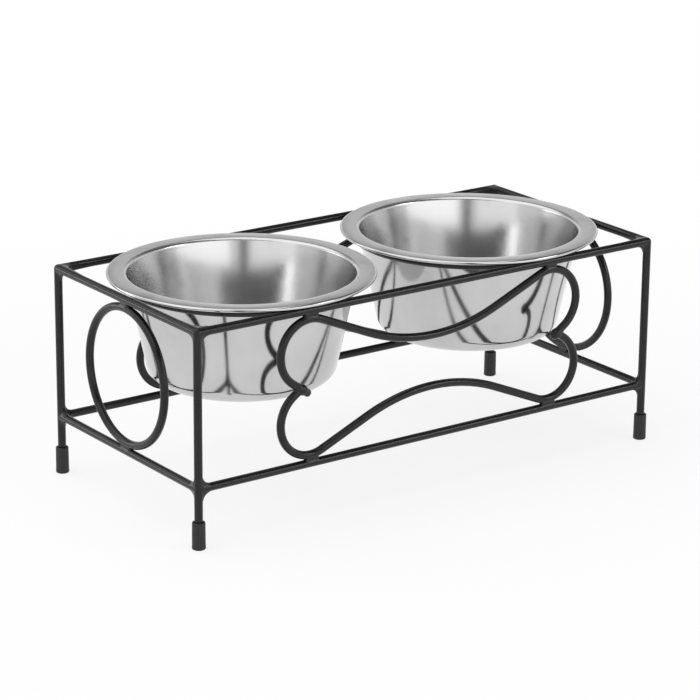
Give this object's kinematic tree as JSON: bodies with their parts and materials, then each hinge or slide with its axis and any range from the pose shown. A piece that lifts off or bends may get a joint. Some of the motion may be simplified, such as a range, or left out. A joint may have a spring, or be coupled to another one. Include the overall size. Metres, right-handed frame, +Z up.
{
  "type": "dog feeder stand",
  "caption": "Raised feeder stand: welded black wire frame with bone outlines along its sides and hoops at its ends, holding lift-out steel bowls by their rims.",
  "frame": {"origin": "on the floor, under the middle of the frame", "axes": "+X along the length, -Y towards the front, +Z up"},
  "size_m": [0.3278, 0.1554, 0.1297],
  "materials": {
    "coated_wire": "satin black powder coat on steel wire",
    "foot_cap": "matt moulded soft vinyl",
    "bowl_steel": "polished stainless sheet with a satin rim"
  },
  "bodies": {
    "frame": {"leg_front_left": "coated_wire", "leg_front_right": "coated_wire", "leg_back_left": "coated_wire", "leg_back_right": "coated_wire", "top_rail_front": "coated_wire", "top_rail_back": "coated_wire", "top_rail_left": "coated_wire", "top_rail_right": "coated_wire", "bottom_rail_front": "coated_wire", "bottom_rail_back": "coated_wire", "bottom_rail_left": "coated_wire", "bottom_rail_right": "coated_wire", "ring_left": "coated_wire", "ring_right": "coated_wire", "end_circle_left": "coated_wire", "end_circle_right": "coated_wire", "bone_front_upper": "coated_wire", "bone_front_lower": "coated_wire", "bone_back_upper": "coated_wire", "bone_back_lower": "coated_wire", "foot_front_left": "foot_cap", "foot_front_right": "foot_cap", "foot_back_left": "foot_cap", "foot_back_right": "foot_cap"},
    "left_bowl": {"bowl_left": "bowl_steel"},
    "right_bowl": {"bowl_right": "bowl_steel"}
  },
  "joints": [
    {"name": "left_bowl_lift", "type": "slide", "parent": "frame", "child": "left_bowl", "axis": [0, 0, 1], "range_m": [0, 0.08]},
    {"name": "right_bowl_lift", "type": "slide", "parent": "frame", "child": "right_bowl", "axis": [0, 0, 1], "range_m": [0, 0.08]}
  ]
}
